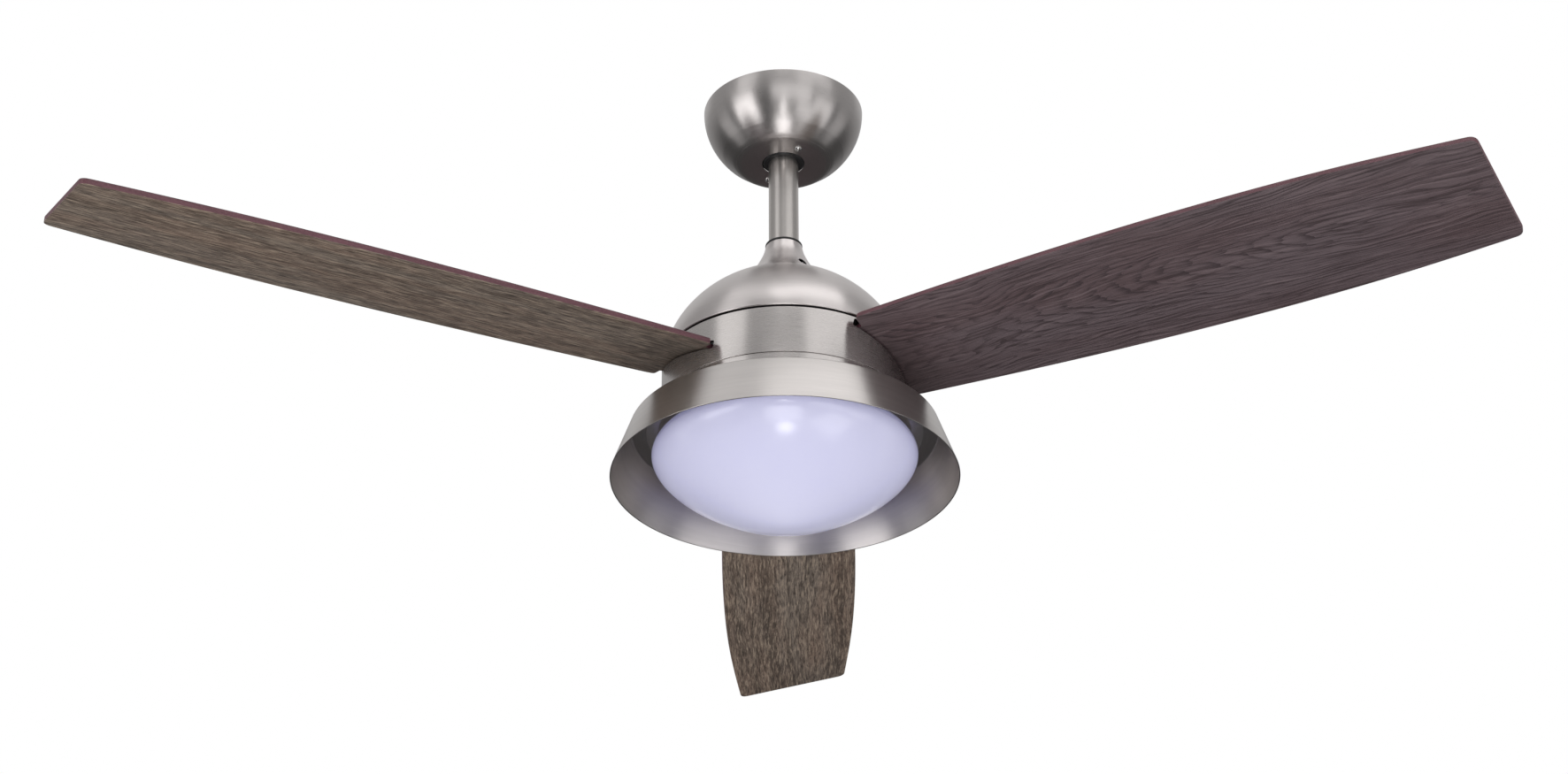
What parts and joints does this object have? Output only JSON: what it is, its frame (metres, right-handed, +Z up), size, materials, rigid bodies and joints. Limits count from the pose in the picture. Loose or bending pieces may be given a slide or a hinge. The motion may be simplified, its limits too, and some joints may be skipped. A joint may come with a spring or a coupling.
{
  "type": "ceiling fan with light",
  "caption": "Ceiling fan on a downrod: ball-hung, slotted turning band with pitched reversible blades, and an opal glass light under a flared metal skirt.",
  "frame": {"origin": "on the fan's axis at the ceiling plane, midway between the ceiling bracket's two screw holes", "axes": "+Z up along the fan's axis, +Y away from the viewer along the bracket's line of screw holes, +X to the viewer's right"},
  "size_m": [1.188, 1.0365, 0.4305],
  "materials": {
    "canopy_nickel": "brushed nickel",
    "zinc_steel": "zinc plated",
    "screw_nickel": "nickel plated",
    "screw_steel": "zinc plated",
    "black_plastic": "moulded",
    "ball_nylon": "moulded nylon",
    "rod_nickel": "brushed nickel",
    "lead_insulation": "soft",
    "housing_nickel": "brushed nickel",
    "band_nickel": "brushed nickel",
    "lamination_steel": "stacked sheet",
    "copper_enamel": "enamelled copper wire",
    "bearing_steel": "polished",
    "cast_aluminium": "as cast",
    "blade_core": "fibreboard, painted edge",
    "grey_oak": "grey barn-wood laminate",
    "dark_oak": "dark oak laminate",
    "washer_rubber": "soft",
    "seal_rubber": "black, moulded",
    "skirt_nickel": "brushed nickel",
    "pan_nickel": "brushed nickel",
    "board_white": "white solder mask",
    "led_phosphor": "clear over phosphor",
    "ring_steel": "satin white",
    "opal_glass": "opal white, satin"
  },
  "bodies": {
    "ceiling_mount": {"ceiling_bracket": "zinc_steel", "canopy": "canopy_nickel", "canopy_screws": "screw_nickel", "receiver": "black_plastic"},
    "swing_pin": {"hanger_pin": "zinc_steel"},
    "hanging": {"ball_set_screw": "screw_steel", "bearing_balls": "bearing_steel", "bearing_inner_races": "bearing_steel", "capacitor": "black_plastic", "clevis_pin": "zinc_steel", "cotter_pin": "zinc_steel", "coupling_set_screws": "screw_steel", "downrod": "rod_nickel", "hanger_ball": "ball_nylon", "housing_screws": "screw_steel", "lamp_pan": "pan_nickel", "lead_wires": "lead_insulation", "led_board": "board_white", "led_driver": "black_plastic", "leds": "led_phosphor", "light_neck": "housing_nickel", "light_plate": "zinc_steel", "light_standoffs": "zinc_steel", "lock_clips": "zinc_steel", "motor_coupling": "zinc_steel", "motor_shaft": "zinc_steel", "pan_screws": "screw_steel", "shaft_nuts": "zinc_steel", "skirt": "skirt_nickel", "stator_core": "lamination_steel", "stator_windings": "copper_enamel", "upper_housing": "housing_nickel", "yoke_cover": "housing_nickel", "yoke_seal": "seal_rubber"},
    "rotor": {"bearing_outer_races": "bearing_steel", "rotor_upper_shell": "cast_aluminium", "rotor_lower_shell": "cast_aluminium", "rotor_ring": "lamination_steel", "slotted_band": "band_nickel", "band_brackets": "zinc_steel", "bracket_screws": "screw_steel", "iron_screws": "screw_steel", "blade_screws": "screw_steel", "blade_washers": "washer_rubber", "blade_iron_1": "cast_aluminium", "blade_iron_2": "cast_aluminium", "blade_iron_3": "cast_aluminium", "blade_core_1": "blade_core", "blade_core_2": "blade_core", "blade_core_3": "blade_core", "grey_face_1": "grey_oak", "grey_face_2": "grey_oak", "grey_face_3": "grey_oak", "dark_face_1": "dark_oak", "dark_face_2": "dark_oak", "dark_face_3": "dark_oak"},
    "glass": {"glass_diffuser": "opal_glass", "glass_ring": "ring_steel"}
  },
  "joints": [
    {"name": "swing_left_right", "type": "hinge", "parent": "ceiling_mount", "child": "swing_pin", "pos_m": [0, 0, -0.0344], "axis": [0, 1, 0], "range_deg": [-9.5, 9.5]},
    {"name": "swing_front_back", "type": "hinge", "parent": "swing_pin", "child": "hanging", "pos_m": [0, 0, -0.0344], "axis": [1, 0, 0], "range_deg": [-9.5, 9.5]},
    {"name": "fan_spin", "type": "hinge", "parent": "hanging", "child": "rotor", "pos_m": [0, 0, -0.245], "axis": [0, 0, 1], "continuous": true},
    {"name": "glass_twist", "type": "hinge", "parent": "hanging", "child": "glass", "pos_m": [0, 0, -0.365], "axis": [0, 0, 1], "range_deg": [-20, 0]}
  ]
}
